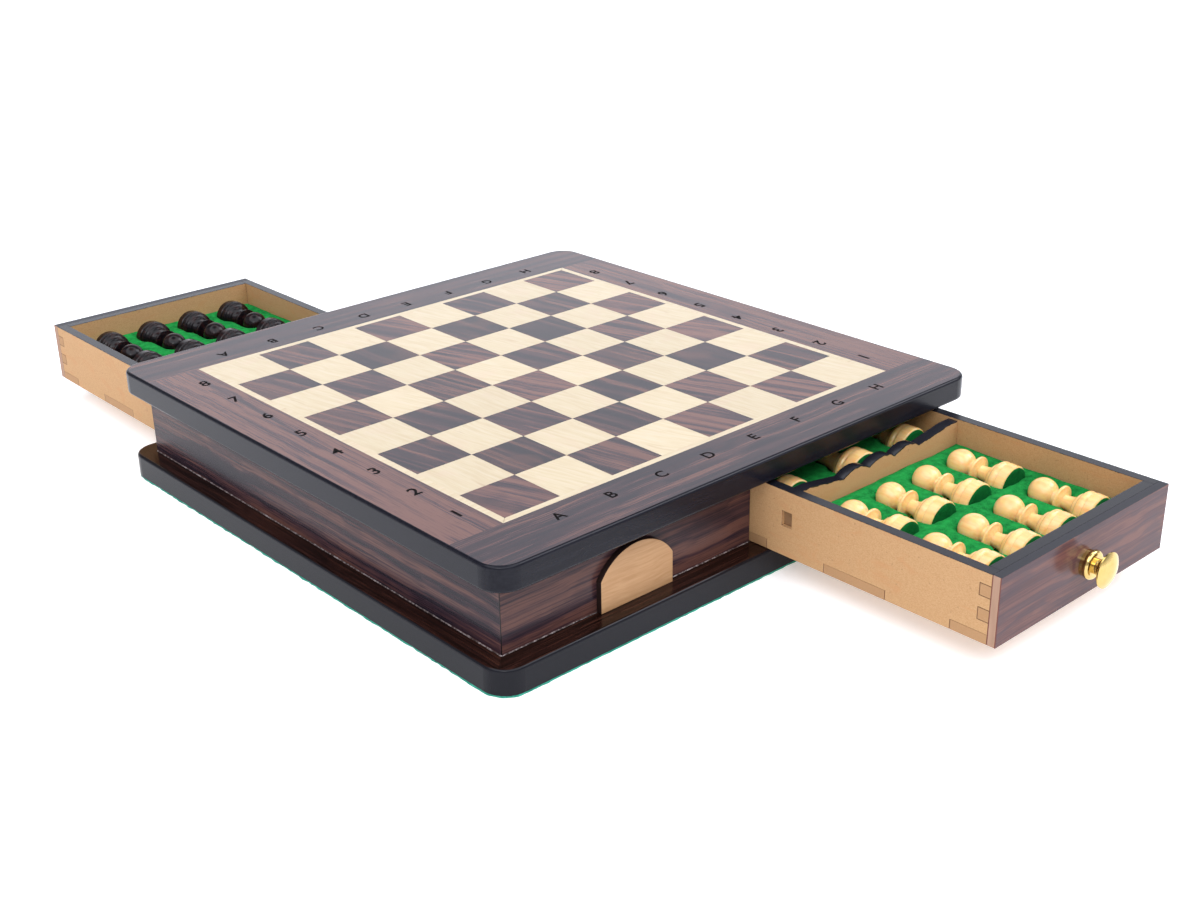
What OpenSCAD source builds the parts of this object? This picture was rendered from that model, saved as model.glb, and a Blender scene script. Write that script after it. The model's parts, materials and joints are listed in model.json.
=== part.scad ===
// Chess set with board: a veneered board on a low case with two drawers of pieces, one at each player's right hand.
// Frame: X runs along the letters, Y along the numbers, Z up. The origin is the centre of the underside.

/* [Board] */
// Side of one square, and so the module of the board
square = 30; // [26:0.5:40]
// Width of the border left and right of the squares
border_side = 32.5; // [28:0.5:45]
// Width of the border at the two players' ends
border_end = 35; // [28:0.5:45]
// Width of the light line round the squares
stringing_w = 3.4; // [1:0.2:6]
// Thickness of the board, veneer included
top_t = 12; // [8:0.5:20]
// Thickness of the veneer
veneer_t = 1; // [0.6:0.1:2]
// Glue line left between neighbouring squares
glue_line = 0.1; // [0.1:0.05:0.4]
// Radius of the corners seen from above
corner_r = 12; // [6:1:25]
// Radius of the rounded edges
edge_r = 1.5; // [0.6:0.1:2.5]

/* [Case] */
// Height of the case walls
case_h = 34; // [33:0.5:50]
// Thickness of the case walls
wall_t = 11.5; // [6:0.5:14]
// How far the case stands back from the board's sides
inset_side = 10; // [4:0.5:20]
// How far the case stands back from the board's ends
inset_end = 12; // [4:0.5:20]
// Thickness of the partition between the drawers
partition_t = 6; // [4:0.5:12]
// Thickness of the base board
base_t = 12; // [8:0.5:20]
// Thickness of the felt under the base
felt_t = 1.2; // [0.8:0.1:2]
// How far the felt stays inside the base
felt_inset = 0.6; // [0:0.1:3]
// Width of the blank name plate
plate_w = 42; // [20:1:60]
// Height of the plate at its middle
plate_h = 27; // [18:0.5:30]
// Height of the plate at its sides
plate_side_h = 15; // [10:0.5:17]
// Thickness of the plate
plate_t = 3; // [1.5:0.5:4]
// Distance of the plate's middle from the left corner of the case
plate_x = 72.5; // [45:0.5:95]

/* [Drawers] */
// How far the drawer of white pieces stands open
white_open = 133; // [0:1:150]
// How far the drawer of black pieces stands open
black_open = 139; // [0:1:150]
// Running clearance at each side of a drawer
side_clear = 0.6; // [0.4:0.1:1.2]
// Running clearance under a drawer
under_clear = 0.4; // [0.3:0.1:0.8]
// Running clearance over a drawer
over_clear = 1.6; // [1:0.1:2.5]
// Clearance behind a closed drawer
back_clear = 1; // [0.5:0.1:3]
// Thickness of the drawer's sides, back and inner front
board_t = 5.4; // [4:0.2:7]
// Thickness of the veneered face board
face_t = 4.2; // [2:0.2:6]
// Thickness of the drawer's bottom
bottom_t = 4.5; // [3:0.5:6]
// Gap in the finger joints
kerf = 0.1; // [0.05:0.05:0.2]
// Height of a corner finger
finger_h = 5.4; // [3:0.2:6]
// Length of a tab of the bottom
tab_l = 33.5; // [20:0.5:45]
// Length of the first tab, at the front corner
first_tab_l = 18; // [8:0.5:30]
// Length of the front bay, for the pawns
pawn_bay_l = 99; // [92:1:115]
// Height of the divider's tenons
tenon_h = 7; // [4:0.5:9]
// Distance of the divider's ends below the drawer's rim
divider_drop = 1; // [0.5:0.5:6]
// How far the divider's top sinks towards its scallops
scallop_sink = 3.4; // [1:0.2:6]
// Depth of the scallops along the divider's top
scallop_d = 2.8; // [1:0.2:3.4]
// Width of one scallop
scallop_w = 18.6; // [10:0.2:24]
// Distance of the felt tray's top below the drawer's rim
tray_drop = 12.5; // [9:0.5:13]
// Clearance round a felt tray
tray_clear = 0.3; // [0.2:0.1:0.6]
// Clearance between a piece and its hollow in the tray
seat_clear = 0.3; // [0.3:0.1:0.6]
// Felt under the bases of the pawns
pawn_seat_t = 2.5; // [2:0.1:3]
// Felt under the bases of the other pieces
piece_seat_t = 1.6; // [0.8:0.2:2]
// Felt between an outer column of pieces and the drawer's side
column_edge = 4.7; // [4:0.1:6]
// Distance between the axes of neighbouring pawns
pawn_pitch = 26.8; // [24:0.2:28]
// Space between the divider and the bishops
bishop_gap = 9.5; // [6:0.5:12]
// Space between the divider and the king
king_gap = 5.2; // [4:0.2:10]

/* [Knobs] */
// Diameter of a knob's head
knob_d = 16.2; // [12:0.2:20]
// How far a knob stands out
knob_l = 12.6; // [12:0.2:18]
// Diameter of the ring round a knob's foot
knob_foot_d = 13.4; // [11:0.2:14]
// Diameter of a knob's neck
knob_neck_d = 7; // [5:0.5:8]
// Diameter of the knob's screw
screw_d = 3; // [2:0.5:4]

/* [Pieces] */
// Height of a pawn
pawn_h = 36; // [30:0.5:38]
// Diameter of a pawn's base
pawn_d = 19.4; // [16:0.2:21]
// Diameter of a pawn's head
pawn_head_d = 14; // [12:0.5:16]
// Diameter of a pawn's collar
pawn_collar_d = 14.2; // [12:0.2:16]
// Height of a rook
rook_h = 38; // [34:0.5:41]
// Height of a knight
knight_h = 43; // [38:0.5:45]
// Height of a bishop
bishop_h = 49; // [44:0.5:52]
// Height of a queen
queen_h = 57; // [52:0.5:60]
// Height of a king
king_h = 64; // [60:0.5:70]
// Diameter of the base of a rook, knight or bishop
officer_d = 20.4; // [18:0.2:22]
// Diameter of the base of a king or queen
royal_d = 22.2; // [20:0.2:24]
// Thickness of the felt under a piece
pad_t = 0.8; // [0.5:0.1:1.2]
// How far a pawn lies raised at its head, in degrees
pawn_tilt = 4.3; // [3:0.1:6]
// How far the other pieces lie raised at their heads, in degrees
piece_tilt = 4; // [2:1:5]

/* [Hidden] */
$fn = 64;
SIDES = ["white", "black"];
PER_DRAWER = ["drawer_face", "drawer_inner_front", "drawer_left_side", "drawer_right_side", "drawer_back",
    "drawer_bottom", "drawer_divider", "pawn_tray", "piece_tray", "knob", "knob_screw",
    "pawns", "rooks", "knights", "bishops", "queen", "king", "base_felts"];

// Colours
rosewood = [0.27, 0.16, 0.13];
maple = [0.93, 0.83, 0.64];
stained = [0.06, 0.05, 0.05];
fibreboard = [0.74, 0.57, 0.38];
felt = [0.05, 0.42, 0.16];
brass = [0.85, 0.66, 0.25];
boxwood = [0.91, 0.75, 0.47];
ebony = [0.09, 0.06, 0.06];

// Board and case
field = 8 * square;
board_x = field + 2 * border_side;
board_y = field + 2 * border_end;
case_x = board_x - 2 * inset_side;
case_y = board_y - 2 * inset_end;
base_z = felt_t;
case_z = base_z + base_t;
top_z = case_z + case_h;
face_z = top_z + top_t;
veneer_z = face_z - veneer_t;
rim = edge_r;
line_out = field / 2 + stringing_w;

// Drawer, in its own frame: X across, Y from its face backwards, Z up from its underside
bay_x = case_x / 2 - wall_t - partition_t / 2;
drawer_w = bay_x - 2 * side_clear;
drawer_h = case_h - under_clear - over_clear;
drawer_l = case_y - wall_t - back_clear;
drawer_cx = partition_t / 2 + bay_x / 2;
drawer_z = case_z + under_clear;
inner_w = drawer_w - 2 * board_t;
inner_y = face_t + board_t;
divider_y = inner_y + pawn_bay_l;
rear_y = divider_y + board_t;
back_y = drawer_l - board_t;
rear_bay_l = back_y - rear_y;
tray_top = drawer_h - tray_drop;
tray_z = bottom_t;
finger_gap = (drawer_h - bottom_t - 2 * finger_h) / 3;
finger_z = [for (k = [0, 1]) bottom_t + finger_gap + k * (finger_h + finger_gap)];
tenon_z = (drawer_h + bottom_t - tenon_h) / 2;
tenon_recess = 1.5;
level_end = 8;
shortest_tab = 5;
knob_z = drawer_h / 2;
screw_clear = 0.2;
knob_edge_t = 0.5;
screw_head_d = 2 * screw_d;
screw_head_t = screw_d * 0.7;
slot_w = 0.8;

// Pieces lie on their sides in the drawers
felt_edge = 0.6;
pawn_axis_z = tray_z + pawn_seat_t + seat_clear + pawn_d / 2;
officer_z = tray_z + piece_seat_t + seat_clear + officer_d / 2;
royal_z = tray_z + piece_seat_t + seat_clear + royal_d / 2;
pawn_rows = [for (k = [0, 1]) inner_y + (k + 1) * (pawn_bay_l - 2 * pawn_h) / 3 + k * pawn_h];
column_x = inner_w / 2 - officer_d / 2 - column_edge;
side_gap = (rear_bay_l - bishop_gap - bishop_h - knight_h - rook_h) / 3;
middle_gap = (rear_bay_l - king_gap - king_h - queen_h) / 2;
bishop_y = rear_y + bishop_gap;
knight_y = bishop_y + bishop_h + side_gap;
rook_y = knight_y + knight_h + side_gap;
king_y = rear_y + king_gap;
queen_y = king_y + king_h + middle_gap;

// ---------------------------------------------------------------- general shapes

// Flat outline with round corners
module round_rect(x, y, r) {
    square([x - 2 * r, y], center = true);
    square([x, y - 2 * r], center = true);
    for (sx = [-1, 1], sy = [-1, 1])
        translate([sx * (x / 2 - r), sy * (y / 2 - r)]) circle(r);
}

// Section of a board from its middle to a rounded edge at x = w
module edge_section(w, t, r_top, r_under) {
    translate([0, r_under]) square([w, t - r_top - r_under]);
    square([w - max(r_top, r_under), t]);
    translate([w - r_top, t - r_top]) circle(r_top);
    if (r_under > 0) translate([w - r_under, r_under]) circle(r_under);
    else square([w, t - r_top]);
}

// Board with round corners and rounded edges
module round_board(x, y, t, r, r_top, r_under) {
    module bar(length, width) {
        translate([0, length / 2, 0]) rotate([90, 0, 0]) linear_extrude(length)
            for (m = [0, 1]) mirror([m, 0]) edge_section(width / 2, t, r_top, r_under);
    }
    bar(y - 2 * r, x);
    rotate(90) bar(x - 2 * r, y);
    for (sx = [-1, 1], sy = [-1, 1])
        translate([sx * (x / 2 - r), sy * (y / 2 - r), 0])
            rotate_extrude() intersection() {
                edge_section(r, t, r_top, r_under);
                square([r, t]);
            }
}

// Points of an arc, from angle a to angle b
function arc(cx, cy, r, a, b, n) = [for (k = [0:n]) [cx + r * cos(a + (b - a) * k / n), cy + r * sin(a + (b - a) * k / n)]];
// Points of a curve from p to q, drawn towards c
function bend(p, c, q, n) = [for (k = [0:n]) let (t = k / n) (1 - t) * (1 - t) * p + 2 * t * (1 - t) * c + t * t * q];

// Lays a piece on its side, head towards +Y and raised by tilt
module lay(x, y, z, tilt) translate([x, y, z]) rotate([tilt - 90, 0, 0]) children();

// Puts a drawer's own frame where the drawer stands
module in_drawer(side) {
    if (side == "white") translate([drawer_cx, -case_y / 2 - white_open, drawer_z]) children();
    else rotate(180) translate([drawer_cx, -case_y / 2 - black_open, drawer_z]) children();
}

// ---------------------------------------------------------------- board

module top_board() color(stained) difference() {
    translate([0, 0, top_z]) round_board(board_x, board_y, top_t, corner_r, edge_r, edge_r);
    translate([0, 0, veneer_z]) linear_extrude(veneer_t + 1)
        round_rect(board_x - 2 * rim, board_y - 2 * rim, corner_r - rim);
}

module squares(colour, first) color(colour)
    for (i = [0:7], j = [0:7]) if ((i + j) % 2 == first)
        translate([(i - 4) * square + glue_line / 2, (j - 4) * square + glue_line / 2, veneer_z])
            cube([square - glue_line, square - glue_line, veneer_t]);

module stringing() color(maple) for (a = [0:90:270]) rotate(a)
    translate([0, 0, veneer_z]) linear_extrude(veneer_t)
        polygon([[glue_line - field / 2, -field / 2], [glue_line - line_out, -line_out],
            [line_out - glue_line, -line_out], [field / 2 - glue_line, -field / 2]]);

module border_end_strip() color(rosewood) translate([0, 0, veneer_z]) linear_extrude(veneer_t)
    intersection() {
        round_rect(board_x - 2 * rim, board_y - 2 * rim, corner_r - rim);
        translate([-board_x / 2, -board_y / 2]) square([board_x, board_y / 2 - line_out]);
    }

module border_side_strip() color(rosewood)
    translate([-board_x / 2 + rim, -line_out, veneer_z])
        cube([board_x / 2 - rim - line_out, 2 * line_out, veneer_t]);

// ---------------------------------------------------------------- case

module case_wall(points) color(rosewood)
    translate([0, 0, case_z]) linear_extrude(case_h) polygon(points);

// Front wall: mitred at its left end, square beside the white drawer
module front_panel() case_wall([
    [-case_x / 2, -case_y / 2],
    [partition_t / 2, -case_y / 2],
    [partition_t / 2, -case_y / 2 + wall_t],
    [-case_x / 2 + wall_t, -case_y / 2 + wall_t]]);

// Left wall: mitred at the front, square beside the black drawer
module left_panel() case_wall([
    [-case_x / 2, -case_y / 2],
    [-case_x / 2 + wall_t, -case_y / 2 + wall_t],
    [-case_x / 2 + wall_t, case_y / 2],
    [-case_x / 2, case_y / 2]]);

module centre_partition() color(fibreboard)
    translate([-partition_t / 2, -case_y / 2 + wall_t, case_z])
        cube([partition_t, case_y - 2 * wall_t, case_h]);

module base_board() color(stained)
    translate([0, 0, base_z]) round_board(board_x, board_y, base_t, corner_r, edge_r, 0);

module base_felt() color(felt) linear_extrude(felt_t)
    round_rect(board_x - 2 * felt_inset, board_y - 2 * felt_inset, corner_r - felt_inset);

// Blank plate with an arched top, standing on the base against the front wall
module blank_plate() color(boxwood) {
    rise = plate_h - plate_side_h;
    arch_r = (plate_w * plate_w / 4 + rise * rise) / (2 * rise);
    translate([-case_x / 2 + plate_x, -case_y / 2, case_z]) rotate([90, 0, 0]) linear_extrude(plate_t)
        intersection() {
            translate([-plate_w / 2, 0]) square([plate_w, plate_h]);
            translate([0, plate_h - arch_r]) circle(arch_r, $fn = 128);
        }
}

// ---------------------------------------------------------------- drawer

// Where the bottom's tabs pass through the sides: [start, end] along the drawer
function tabs() = concat([[face_t, face_t + first_tab_l]],
    [for (y = [face_t + first_tab_l + tab_l : 2 * tab_l : drawer_l - shortest_tab]) [y, min(y + tab_l, drawer_l)]]);

module drawer_face() color(rosewood) difference() {
    translate([-drawer_w / 2, 0, 0]) cube([drawer_w, face_t, drawer_h]);
    translate([0, -1, knob_z]) rotate([-90, 0, 0]) cylinder(h = face_t + 2, d = screw_d + 2 * screw_clear);
}

// A board across the drawer whose fingers pass through both sides
module cross_board(y) {
    translate([-inner_w / 2, y, bottom_t]) cube([inner_w, board_t, drawer_h - bottom_t]);
    for (z = finger_z)
        translate([-drawer_w / 2, y, z]) cube([drawer_w, board_t, finger_h]);
}

module drawer_inner_front() color(fibreboard) difference() {
    cross_board(face_t);
    translate([0, face_t - 1, knob_z]) rotate([-90, 0, 0]) cylinder(h = board_t + 2, d = screw_d + 2 * screw_clear);
    translate([0, inner_y - screw_head_t - kerf, knob_z]) rotate([-90, 0, 0])
        cylinder(h = screw_head_t + 1, d = screw_head_d + 2 * screw_clear);
}

module drawer_back() color(fibreboard) cross_board(back_y);

module drawer_side(sx) color(fibreboard) difference() {
    translate([sx * (inner_w / 2 + board_t / 2) - board_t / 2, face_t, 0])
        cube([board_t, drawer_l - face_t, drawer_h]);
    for (y = [face_t, back_y], z = finger_z)
        translate([sx * drawer_w / 2 - board_t * 2, y - (y == face_t ? 1 : kerf), z - kerf])
            cube([board_t * 4, board_t + 1 + kerf, finger_h + 2 * kerf]);
    for (t = tabs())
        translate([sx * drawer_w / 2 - board_t * 2, t[0] - (t[0] == face_t ? 1 : kerf), -1])
            cube([board_t * 4, t[1] - t[0] + (t[0] == face_t ? 1 + kerf : 1.5 * kerf + (t[1] == drawer_l ? 1 : 0)),
                bottom_t + 1 + kerf]);
    translate([sx * drawer_w / 2 - board_t * 2, divider_y - kerf, tenon_z - kerf])
        cube([board_t * 4, board_t + 2 * kerf, tenon_h + 2 * kerf]);
}

module drawer_bottom() color(fibreboard) {
    translate([-inner_w / 2, face_t, 0]) cube([inner_w, drawer_l - face_t, bottom_t]);
    for (t = tabs())
        translate([-drawer_w / 2, t[0], 0]) cube([drawer_w, t[1] - t[0], bottom_t]);
}

// Divider whose top sinks from both ends to three scallops in the middle, with a tenon at each end
module drawer_divider() color(fibreboard) {
    high = drawer_h - divider_drop;
    low = high - scallop_sink;
    bump_r = (scallop_w * scallop_w / 4 + scallop_d * scallop_d) / (2 * scallop_d);
    slope_in = 1.5 * scallop_w;
    slope_out = inner_w / 2 - level_end;
    translate([0, divider_y + board_t, 0]) rotate([90, 0, 0]) linear_extrude(board_t) {
        polygon([[-inner_w / 2, bottom_t], [inner_w / 2, bottom_t], [inner_w / 2, high], [slope_out, high],
            [slope_in, low], [-slope_in, low], [-slope_out, high], [-inner_w / 2, high]]);
        for (k = [-1:1]) intersection() {
            translate([k * scallop_w, low + scallop_d - bump_r]) circle(bump_r, $fn = 128);
            translate([k * scallop_w - scallop_w / 2, low - 1]) square([scallop_w, scallop_d + 1]);
        }
        translate([-drawer_w / 2 + tenon_recess, tenon_z]) square([drawer_w - 2 * tenon_recess, tenon_h]);
    }
}

// ---------------------------------------------------------------- knob

// Knob with a ringed foot, a short neck and a shallow domed head with a thin edge
module knob() color(brass) {
    foot_r = knob_foot_d / 2;
    neck_r = knob_neck_d / 2;
    head_r = knob_d / 2;
    ring_y = 0.24 * knob_l;
    ring_r = 0.135 * knob_l;
    edge_y = 0.78 * knob_l;
    dome_h = knob_l - edge_y - knob_edge_t;
    dome_r = (head_r * head_r + dome_h * dome_h) / (2 * dome_h);
    dome_a = asin(head_r / dome_r);
    translate([0, 0, knob_z]) rotate([90, 0, 0]) difference() {
        rotate_extrude() {
            square([foot_r - 0.7, ring_y]);
            square([neck_r, edge_y]);
            translate([foot_r - ring_r, ring_y]) circle(ring_r);
            square([foot_r - ring_r, ring_y + ring_r]);
            polygon(concat(bend([neck_r, 0.5 * knob_l], [neck_r, edge_y - 0.9], [head_r - 0.6, edge_y - 0.6], 6),
                [[head_r, edge_y]], arc(0, knob_l - dome_r, dome_r, 90 - dome_a, 90, 12), [[0, 0.5 * knob_l]]));
        }
        translate([0, 0, -1]) cylinder(h = knob_l * 0.5 + 1, d = screw_d + screw_clear);
    }
}

module knob_screw() color([0.75, 0.72, 0.65])
    translate([0, inner_y, knob_z]) rotate([90, 0, 0]) {
        cylinder(h = inner_y + knob_l * 0.45, d = screw_d);
        difference() {
            cylinder(h = screw_head_t, d = screw_head_d);
            translate([-screw_head_d, -slot_w / 2, -1]) cube([2 * screw_head_d, slot_w, 1 + slot_w]);
        }
    }

// ---------------------------------------------------------------- turned pieces

// Base of every piece: a band, a groove and a ring, then a step up to the stem
function foot_top(r) = 1.18 * r;
function foot(r) = concat(
    [[0, 0], [r - 0.5, 0], [r, 0.5], [r, 0.46 * r], [0.95 * r, 0.5 * r], [0.91 * r, 0.52 * r]],
    arc(0.78 * r, 0.73 * r, 0.2 * r, -40, 70, 6),
    [[0.78 * r, 0.97 * r]],
    bend([0.76 * r, 1.0 * r], [0.72 * r, 1.14 * r], [0.6 * r, foot_top(r)], 3));

// Collar of radius r and thickness t standing at height z, thin at its edge
function collar(r, neck, z, t) = [[neck, z], [r - 0.5 * t, z + 0.15 * t], [r, z + 0.5 * t], [r - 0.5 * t, z + 0.85 * t], [neck, z + t]];

module turned(points) rotate_extrude() polygon(points);

module pawn() {
    r = pawn_d / 2;
    head_z = pawn_h - pawn_head_d / 2;
    collar_z = head_z - 0.8 * pawn_head_d;
    collar_r = pawn_collar_d / 2;
    neck = 0.35 * r;
    throat = 0.29 * pawn_head_d;
    turned(concat(foot(r),
        bend([0.6 * r, foot_top(r)], [neck, foot_top(r) + 1.2], [neck, collar_z], 5),
        [[0.8 * collar_r, collar_z + 0.9], [collar_r - 0.2, collar_z + 1.1], [collar_r, collar_z + 1.4],
            [collar_r, collar_z + 2], [collar_r - 0.3, collar_z + 2.4], [throat, collar_z + 2.9],
            [throat, head_z - pawn_head_d / 2 * cos(30)], [0, head_z - pawn_head_d / 2 * cos(30)]]));
    translate([0, 0, head_z]) sphere(d = pawn_head_d);
}

module rook() {
    r = officer_d / 2;
    tower_z = 0.66 * rook_h;
    tower_r = 0.72 * r;
    difference() {
        turned(concat(foot(r),
            bend([0.6 * r, foot_top(r)], [0.46 * r, foot_top(r) + 3], [0.46 * r, tower_z - 3], 5),
            collar(0.74 * r, 0.46 * r, tower_z - 2.6, 1.6),
            bend([0.5 * r, tower_z - 1], [0.55 * r, tower_z + 2], [tower_r, tower_z + 3], 3),
            [[tower_r, rook_h], [0.48 * r, rook_h], [0.44 * r, rook_h - 3.4], [0, rook_h - 3.4]]));
        for (a = [0:60:120]) rotate(a)
            translate([-r, -0.95, rook_h - 3]) cube([2 * r, 1.9, 4]);
    }
}

module bishop() {
    r = officer_d / 2;
    neck_z = 0.6 * bishop_h;
    head_r = 0.5 * r;
    tip_z = bishop_h - 2;
    difference() {
        union() {
            turned(concat(foot(r),
                bend([0.56 * r, foot_top(r)], [0.3 * r, foot_top(r) + 3], [0.3 * r, neck_z - 3], 5),
                collar(0.66 * r, 0.34 * r, neck_z - 3, 1.6),
                collar(0.5 * r, 0.36 * r, neck_z - 1.3, 1.3),
                bend([0.36 * r, neck_z], [head_r * 1.25, neck_z + 1], [head_r, neck_z + 6], 4),
                bend([head_r, neck_z + 6.4], [head_r * 0.8, tip_z - 3], [0.8, tip_z - 1], 4),
                [[0, tip_z - 1]]));
            translate([0, 0, bishop_h - 1.8]) sphere(r = 1.8);
        }
        translate([1.2, -r, tip_z - 6]) rotate([0, 32, 0]) cube([0.9, 2 * r, 12]);
    }
}

module queen() {
    r = royal_d / 2;
    neck_z = 0.62 * queen_h;
    rim_z = queen_h - 6.2;
    rim_r = 0.62 * r;
    difference() {
        turned(concat(foot(r),
            bend([0.56 * r, foot_top(r)], [0.3 * r, foot_top(r) + 4], [0.3 * r, neck_z - 4], 5),
            collar(0.7 * r, 0.32 * r, neck_z - 4, 1.7),
            collar(0.52 * r, 0.34 * r, neck_z - 2.1, 1.4),
            bend([0.36 * r, neck_z - 0.6], [0.4 * r, rim_z - 4], [rim_r, rim_z], 5),
            [[rim_r - 0.5, rim_z + 2.2], [0.46 * r, rim_z + 0.6]],
            bend([0.44 * r, rim_z + 0.6], [0.38 * r, rim_z + 2.6], [0.8, rim_z + 3], 3),
            [[0, rim_z + 3]]));
        for (a = [0:45:315]) rotate(a) translate([rim_r + 0.5, 0, rim_z + 2.6]) rotate([0, 90, 0])
            cylinder(r = 1.7, h = 4, center = true);
    }
    translate([0, 0, queen_h - 2.1]) sphere(r = 2.1);
}

// Cross with flared arms
module cross(h, t) {
    w = 0.9 * h;
    rotate([90, 0, 0]) linear_extrude(t, center = true)
        polygon([[-0.16 * w, 0], [0.16 * w, 0], [0.11 * w, 0.42 * h], [0.5 * w, 0.34 * h], [0.5 * w, 0.76 * h],
            [0.11 * w, 0.66 * h], [0.2 * w, h], [-0.2 * w, h], [-0.11 * w, 0.66 * h], [-0.5 * w, 0.76 * h],
            [-0.5 * w, 0.34 * h], [-0.11 * w, 0.42 * h]]);
}

module king() {
    r = royal_d / 2;
    neck_z = 0.58 * king_h;
    rim_z = king_h - 10;
    rim_r = 0.6 * r;
    turned(concat(foot(r),
        bend([0.56 * r, foot_top(r)], [0.32 * r, foot_top(r) + 4], [0.32 * r, neck_z - 4], 5),
        collar(0.72 * r, 0.34 * r, neck_z - 4, 1.8),
        collar(0.54 * r, 0.36 * r, neck_z - 2, 1.4),
        bend([0.38 * r, neck_z - 0.4], [0.42 * r, rim_z - 5], [rim_r, rim_z], 5),
        [[rim_r, rim_z + 1]],
        bend([rim_r - 0.3, rim_z + 1.3], [0.3 * r, rim_z + 2.4], [1.6, rim_z + 3.6], 4),
        [[0, rim_z + 3.6]]));
    translate([0, 0, rim_z + 3]) cross(king_h - rim_z - 3, 2.6);
}

// ---------------------------------------------------------------- knight

// Ribs of the horse's head, from the throat side to the mane side, for a head HEAD_H high:
// [throat x, throat z, mane x, mane z, half thickness], z counted from the turned base
HEAD_H = 30;
RIBS = [
    [6.8, 0, -8.0, 0, 6.6], [6.2, 3, -8.8, 5, 6.0], [4.6, 6, -8.8, 10.5, 5.6], [3.0, 8.5, -8.0, 16, 5.3],
    [2.2, 10.5, -6.4, 21, 5.0], [3.0, 12, -3.8, 25.5, 5.0], [4.6, 12.6, -0.4, 27.6, 4.9],
    [6.4, 13, 2.8, 26.6, 4.5], [8.2, 13.4, 5.8, 23.6, 4.0], [9.8, 14, 8.8, 20.6, 3.4],
    [11, 14.8, 11, 18.6, 3.0], [11.6, 15.6, 11.8, 17.4, 1.8]];
RIB_STEPS = 3;
RING_POINTS = 28;
EAR_RIB = 5.7;
EYE_RIB = 7.0;
MANE_END = 6.0;

// Smooth value through the table's rows at place s
function spline(p0, p1, p2, p3, t) = 0.5 * (2 * p1 + (p2 - p0) * t + (2 * p0 - 5 * p1 + 4 * p2 - p3) * t * t
    + (3 * p1 - p0 - 3 * p2 + p3) * t * t * t);
function rib(s) = let (last = len(RIBS) - 1, i = min(floor(s), last - 1))
    spline(RIBS[max(i - 1, 0)], RIBS[i], RIBS[i + 1], RIBS[min(i + 2, last)], s - i);
function bell(x, w) = exp(-x * x / (w * w));

// The turned base under the head, and how far the nose reaches out from the knight's axis
function knight_base_h() = foot_top(officer_d / 2) + 1;
function nose_reach() = (knight_h - knight_base_h()) / HEAD_H * RIBS[len(RIBS) - 1][2] + 0.5;

// Point of the head at rib place s and angle a round the rib, a = 0 at the throat and 180 at the mane
function head_point(s, a) = let (
    q = rib(s),
    f = [q[0], 0, q[1]],
    b = [q[2], 0, q[3]],
    along = (b - f) / norm(b - f),
    u = 0.5 - 0.5 * cos(a),
    on_neck = s < MANE_END ? 1 : 0,
    mane = on_neck * (u > 0.8 ? 1 : 0),
    side = sign(sin(a)) * pow(abs(sin(a)), 0.72),
    half = q[4] * (1 - 0.3 * mane) * (1 - 0.16 * bell(s - 4.5, 1.2) * bell(u - 0.45, 0.2)),
    ear = 2.2 * bell(s - EAR_RIB, 0.5) * bell(abs(side) - 0.55, 0.3) * (u > 0.8 ? 1 : 0),
    curl = on_neck * (u > 0.95 ? 0.7 * abs(sin(s * 270)) : 0),
    eye = 0.7 * bell(s - EYE_RIB, 0.5) * bell(u - 0.62, 0.12),
    mouth = s > 8.6 ? 0.9 * bell(u - 0.3, 0.09) : 0)
    f + along * (u * norm(b - f) + ear + curl) + [0, side * (half + eye - mouth), 0];

module horse_head(h) {
    last = len(RIBS) - 1;
    rings = last * RIB_STEPS;
    n = RING_POINTS;
    scale(h / HEAD_H) polyhedron(
        points = concat([for (k = [0:rings], j = [0:n - 1]) head_point(k / RIB_STEPS, 360 * j / n)],
            [[rib(0)[0] / 2 + rib(0)[2] / 2, 0, 0],
             [rib(last)[0] / 2 + rib(last)[2] / 2 + 0.5, 0, rib(last)[1] / 2 + rib(last)[3] / 2]]),
        faces = concat(
            [for (k = [0:rings - 1], j = [0:n - 1]) [k * n + j, (k + 1) * n + j, k * n + (j + 1) % n]],
            [for (k = [0:rings - 1], j = [0:n - 1])
                [k * n + (j + 1) % n, (k + 1) * n + j, (k + 1) * n + (j + 1) % n]],
            [for (j = [0:n - 1]) [j, (j + 1) % n, (rings + 1) * n]],
            [for (j = [0:n - 1]) [rings * n + (j + 1) % n, rings * n + j, (rings + 1) * n + 1]]));
}

// A carved head glued on a turned base, lying on its cheek
module knight() {
    r = officer_d / 2;
    base_h = knight_base_h();
    turned(concat(foot(r), [[0.62 * r, foot_top(r)], [0.66 * r, base_h], [0, base_h]]));
    translate([-0.2, 0, base_h]) horse_head(knight_h - base_h);
}

// ---------------------------------------------------------------- pieces in the drawer

module at_pawns() for (y = pawn_rows, k = [-1.5:1.5])
    lay(k * pawn_pitch, y, pawn_axis_z, pawn_tilt) children();
module at_rooks() for (x = [-column_x, column_x]) lay(x, rook_y, officer_z, piece_tilt) children();
module at_knights() for (m = [0, 1]) mirror([m, 0]) lay(column_x, knight_y, officer_z, piece_tilt) children();
module at_bishops() for (x = [-column_x, column_x]) lay(x, bishop_y, officer_z, piece_tilt) children();
module at_queen() lay(0, queen_y, royal_z, piece_tilt) children();
module at_king() lay(0, king_y, royal_z, piece_tilt) children();

module pad(d) translate([0, 0, -pad_t]) cylinder(h = pad_t, d = d - 2 * felt_edge);

module base_felts() color(felt) {
    at_pawns() pad(pawn_d);
    at_rooks() pad(officer_d);
    at_knights() pad(officer_d);
    at_bishops() pad(officer_d);
    at_queen() pad(royal_d);
    at_king() pad(royal_d);
}

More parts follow.
